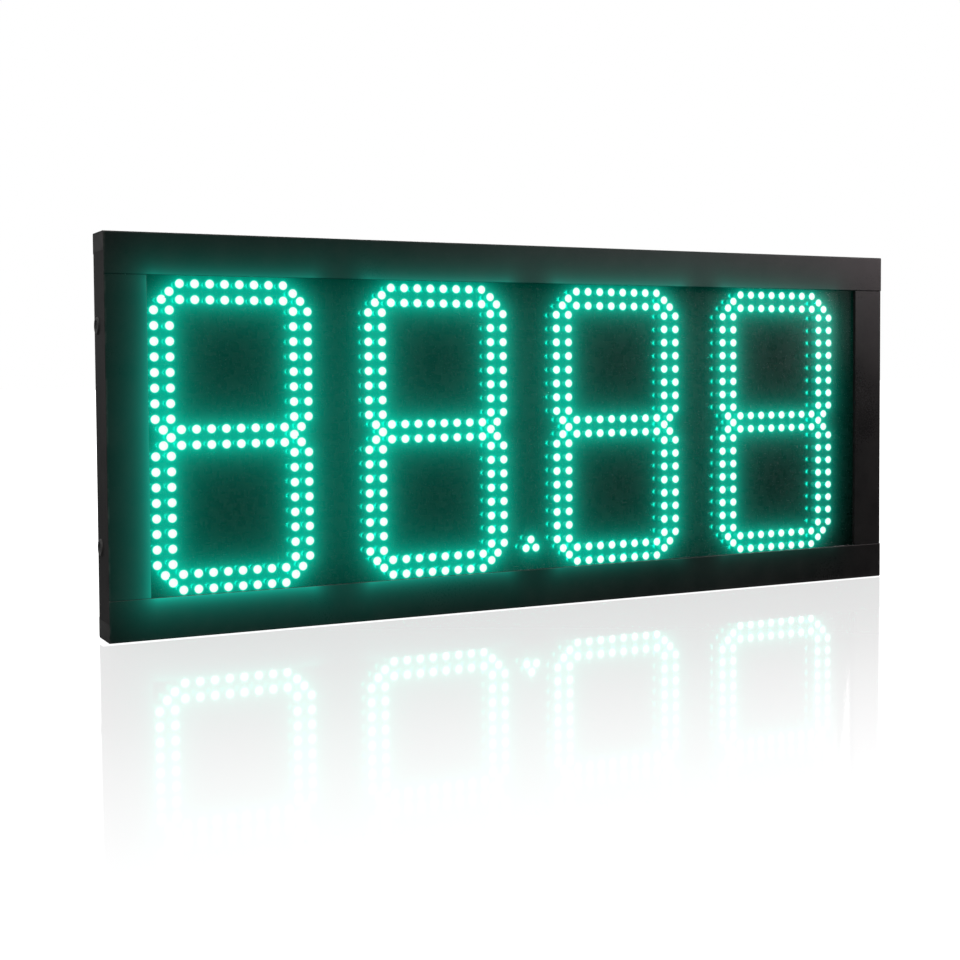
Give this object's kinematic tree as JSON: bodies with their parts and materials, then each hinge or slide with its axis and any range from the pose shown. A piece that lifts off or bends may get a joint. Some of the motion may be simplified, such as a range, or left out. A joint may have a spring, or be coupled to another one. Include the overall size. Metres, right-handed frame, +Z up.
{
  "type": "led number display sign",
  "caption": "Wide black sign with four double-row lamp digits and a decimal point behind a clear sheet in a hollow frame.",
  "frame": {"origin": "middle of the frame's underside, on the face that it stands on", "axes": "+X along the sign to the viewer's right, +Y from the front to the back, +Z up"},
  "size_m": [0.9632, 0.0635, 0.396],
  "materials": {
    "frame_paint": "black satin powder coat",
    "cover_paint": "black satin paint on pressed sheet",
    "cap_plastic": "moulded black",
    "clear_sheet": "clear cast acrylic, gloss",
    "board": "black solder resist on glass fibre board",
    "lamp_green": "lit lamp, white-hot with a blue-green rim",
    "chip": "moulded black",
    "header": "moulded black",
    "zinc": "bright zinc",
    "black_screw": "black oxide",
    "aluminium": "mill finish",
    "rubber": "matt black",
    "nylon": "moulded black nylon",
    "supply_case": "brushed",
    "card_green": "green solder resist",
    "brass": "plain",
    "terminal": "moulded black"
  },
  "bodies": {
    "root": {"board_screws": "black_screw", "bottom_rail": "frame_paint", "clip_screws": "zinc", "control_card": "card_green", "control_card_chips": "chip", "control_card_connectors": "header", "control_card_screws": "zinc", "control_card_standoffs": "brass", "corner_cleats": "aluminium", "corner_screws": "zinc", "crossbar_screws": "zinc", "decimal_point_lamps": "lamp_green", "digit_1_board": "board", "digit_1_connectors": "header", "digit_1_drivers": "chip", "digit_1_lamps": "lamp_green", "digit_2_board": "board", "digit_2_connectors": "header", "digit_2_drivers": "chip", "digit_2_lamps": "lamp_green", "digit_3_board": "board", "digit_3_connectors": "header", "digit_3_drivers": "chip", "digit_3_lamps": "lamp_green", "digit_4_board": "board", "digit_4_connectors": "header", "digit_4_drivers": "chip", "digit_4_lamps": "lamp_green", "fixing_inserts": "zinc", "front_window": "clear_sheet", "gland_body": "nylon", "gland_dome_nut": "nylon", "gland_lock_nut": "nylon", "gland_washer": "rubber", "left_stile": "frame_paint", "lower_crossbar": "aluminium", "power_supply": "supply_case", "power_supply_screws": "black_screw", "power_supply_terminals": "terminal", "rail_end_caps": "cap_plastic", "rear_cover": "cover_paint", "rear_cover_screws": "black_screw", "right_stile": "frame_paint", "sheet_clips": "zinc", "side_grommets": "rubber", "top_rail": "frame_paint", "upper_crossbar": "aluminium", "window_gasket": "rubber"}
  },
  "joints": []
}
